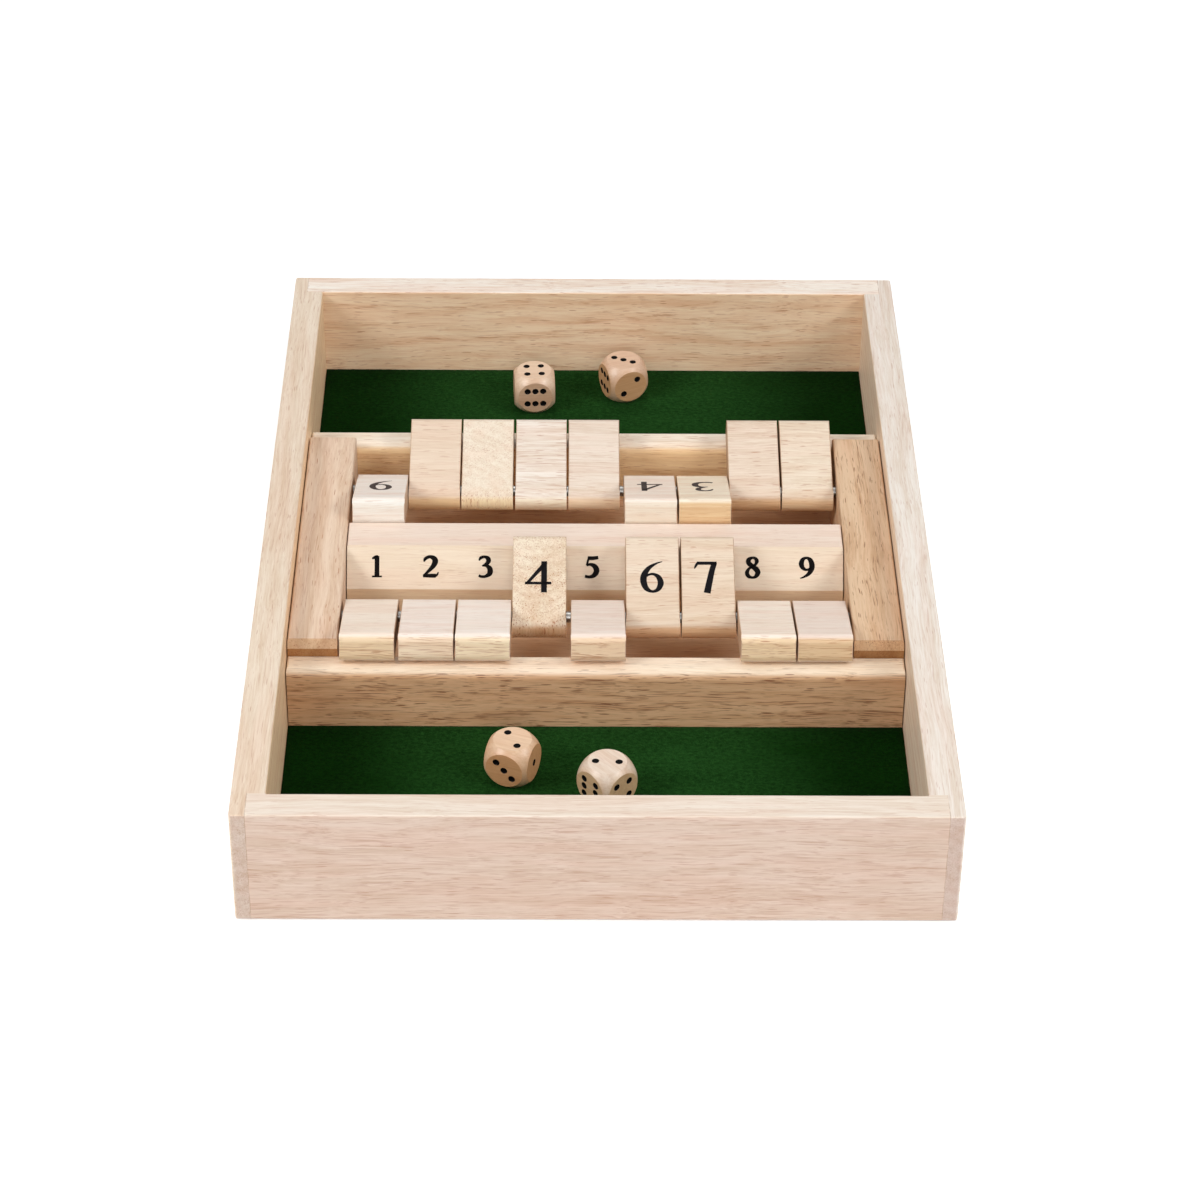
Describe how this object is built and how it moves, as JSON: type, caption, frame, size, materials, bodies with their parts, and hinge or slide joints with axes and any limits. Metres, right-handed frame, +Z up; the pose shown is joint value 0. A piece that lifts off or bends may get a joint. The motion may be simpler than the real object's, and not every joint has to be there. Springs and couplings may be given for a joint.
{
  "type": "shut the box game",
  "caption": "Two-sided wooden shut the box game: an open tray with a felted dice well at each end and two rows of numbered flip tiles on rods.",
  "frame": {"origin": "on the table, under the middle of the tray", "axes": "+X to the near player's right, +Y from the near player to the far player, +Z up"},
  "size_m": [0.24, 0.34, 0.045],
  "materials": {
    "wall_wood": "satin",
    "base_wood": "satin",
    "rail_wood": "satin",
    "cheek_wood": "satin",
    "tile_wood": "satin",
    "die_wood": "gloss",
    "felt": "matt",
    "rod_steel": "polished"
  },
  "bodies": {
    "tray": {"left_wall": "wall_wood", "right_wall": "wall_wood", "front_wall": "wall_wood", "back_wall": "wall_wood", "base_panel": "base_wood", "front_felt": "felt", "back_felt": "felt", "front_rail": "rail_wood", "back_rail": "rail_wood", "center_rail": "rail_wood", "left_cheek": "cheek_wood", "right_cheek": "cheek_wood", "front_rod": "rod_steel", "back_rod": "rod_steel"},
    "front_tile_1": {"front_tile_1": "tile_wood"},
    "front_tile_2": {"front_tile_2": "tile_wood"},
    "front_tile_3": {"front_tile_3": "tile_wood"},
    "front_tile_4": {"front_tile_4": "tile_wood"},
    "front_tile_5": {"front_tile_5": "tile_wood"},
    "front_tile_6": {"front_tile_6": "tile_wood"},
    "front_tile_7": {"front_tile_7": "tile_wood"},
    "front_tile_8": {"front_tile_8": "tile_wood"},
    "front_tile_9": {"front_tile_9": "tile_wood"},
    "back_tile_1": {"back_tile_1": "tile_wood"},
    "back_tile_2": {"back_tile_2": "tile_wood"},
    "back_tile_3": {"back_tile_3": "tile_wood"},
    "back_tile_4": {"back_tile_4": "tile_wood"},
    "back_tile_5": {"back_tile_5": "tile_wood"},
    "back_tile_6": {"back_tile_6": "tile_wood"},
    "back_tile_7": {"back_tile_7": "tile_wood"},
    "back_tile_8": {"back_tile_8": "tile_wood"},
    "back_tile_9": {"back_tile_9": "tile_wood"},
    "front_die_left": {"front_die_left": "die_wood"},
    "front_die_right": {"front_die_right": "die_wood"},
    "back_die_left": {"back_die_left": "die_wood"},
    "back_die_right": {"back_die_right": "die_wood"}
  },
  "joints": [
    {"name": "front_tile_1_flip", "type": "hinge", "parent": "tray", "child": "front_tile_1", "pos_m": [-0.08, -0.04, 0.0297], "axis": [1, 0, 0], "range_deg": [-143.94, 0]},
    {"name": "front_tile_2_flip", "type": "hinge", "parent": "tray", "child": "front_tile_2", "pos_m": [-0.0594, -0.04, 0.0297], "axis": [1, 0, 0], "range_deg": [-143.94, 0]},
    {"name": "front_tile_3_flip", "type": "hinge", "parent": "tray", "child": "front_tile_3", "pos_m": [-0.0396, -0.04, 0.0297], "axis": [1, 0, 0], "range_deg": [-143.94, 0]},
    {"name": "front_tile_4_flip", "type": "hinge", "parent": "tray", "child": "front_tile_4", "pos_m": [-0.02008, -0.04, 0.0297], "axis": [1, 0, 0], "range_deg": [0, 143.94]},
    {"name": "front_tile_5_flip", "type": "hinge", "parent": "tray", "child": "front_tile_5", "pos_m": [0.00076, -0.04, 0.0297], "axis": [1, 0, 0], "range_deg": [-143.94, 0]},
    {"name": "front_tile_6_flip", "type": "hinge", "parent": "tray", "child": "front_tile_6", "pos_m": [0.0204, -0.04, 0.0297], "axis": [1, 0, 0], "range_deg": [0, 143.94]},
    {"name": "front_tile_7_flip", "type": "hinge", "parent": "tray", "child": "front_tile_7", "pos_m": [0.04032, -0.04, 0.0297], "axis": [1, 0, 0], "range_deg": [0, 143.94]},
    {"name": "front_tile_8_flip", "type": "hinge", "parent": "tray", "child": "front_tile_8", "pos_m": [0.06016, -0.04, 0.0297], "axis": [1, 0, 0], "range_deg": [-143.94, 0]},
    {"name": "front_tile_9_flip", "type": "hinge", "parent": "tray", "child": "front_tile_9", "pos_m": [0.08, -0.04, 0.0297], "axis": [1, 0, 0], "range_deg": [-143.94, 0]},
    {"name": "back_tile_1_flip", "type": "hinge", "parent": "tray", "child": "back_tile_1", "pos_m": [0.0798, 0.04, 0.0297], "axis": [1, 0, 0], "range_deg": [0, 145.46]},
    {"name": "back_tile_2_flip", "type": "hinge", "parent": "tray", "child": "back_tile_2", "pos_m": [0.05992, 0.04, 0.0297], "axis": [1, 0, 0], "range_deg": [0, 145.46]},
    {"name": "back_tile_3_flip", "type": "hinge", "parent": "tray", "child": "back_tile_3", "pos_m": [0.0404, 0.04, 0.0297], "axis": [1, 0, 0], "range_deg": [-145.46, 0]},
    {"name": "back_tile_4_flip", "type": "hinge", "parent": "tray", "child": "back_tile_4", "pos_m": [0.02048, 0.04, 0.0297], "axis": [1, 0, 0], "range_deg": [-145.46, 0]},
    {"name": "back_tile_5_flip", "type": "hinge", "parent": "tray", "child": "back_tile_5", "pos_m": [-0.0002, 0.04, 0.0297], "axis": [1, 0, 0], "range_deg": [0, 145.46]},
    {"name": "back_tile_6_flip", "type": "hinge", "parent": "tray", "child": "back_tile_6", "pos_m": [-0.02008, 0.04, 0.0297], "axis": [1, 0, 0], "range_deg": [0, 145.46]},
    {"name": "back_tile_7_flip", "type": "hinge", "parent": "tray", "child": "back_tile_7", "pos_m": [-0.0402, 0.04, 0.0297], "axis": [1, 0, 0], "range_deg": [0, 145.46]},
    {"name": "back_tile_8_flip", "type": "hinge", "parent": "tray", "child": "back_tile_8", "pos_m": [-0.06, 0.04, 0.0297], "axis": [1, 0, 0], "range_deg": [0, 145.46]},
    {"name": "back_tile_9_flip", "type": "hinge", "parent": "tray", "child": "back_tile_9", "pos_m": [-0.07948, 0.04, 0.0297], "axis": [1, 0, 0], "range_deg": [-145.46, 0]},
    {"name": "front_die_left_lift", "type": "slide", "parent": "tray", "child": "front_die_left", "axis": [0, 0, 1], "range_m": [0, 0.06]},
    {"name": "front_die_right_lift", "type": "slide", "parent": "tray", "child": "front_die_right", "axis": [0, 0, 1], "range_m": [0, 0.06]},
    {"name": "back_die_left_lift", "type": "slide", "parent": "tray", "child": "back_die_left", "axis": [0, 0, 1], "range_m": [0, 0.06]},
    {"name": "back_die_right_lift", "type": "slide", "parent": "tray", "child": "back_die_right", "axis": [0, 0, 1], "range_m": [0, 0.06]}
  ]
}
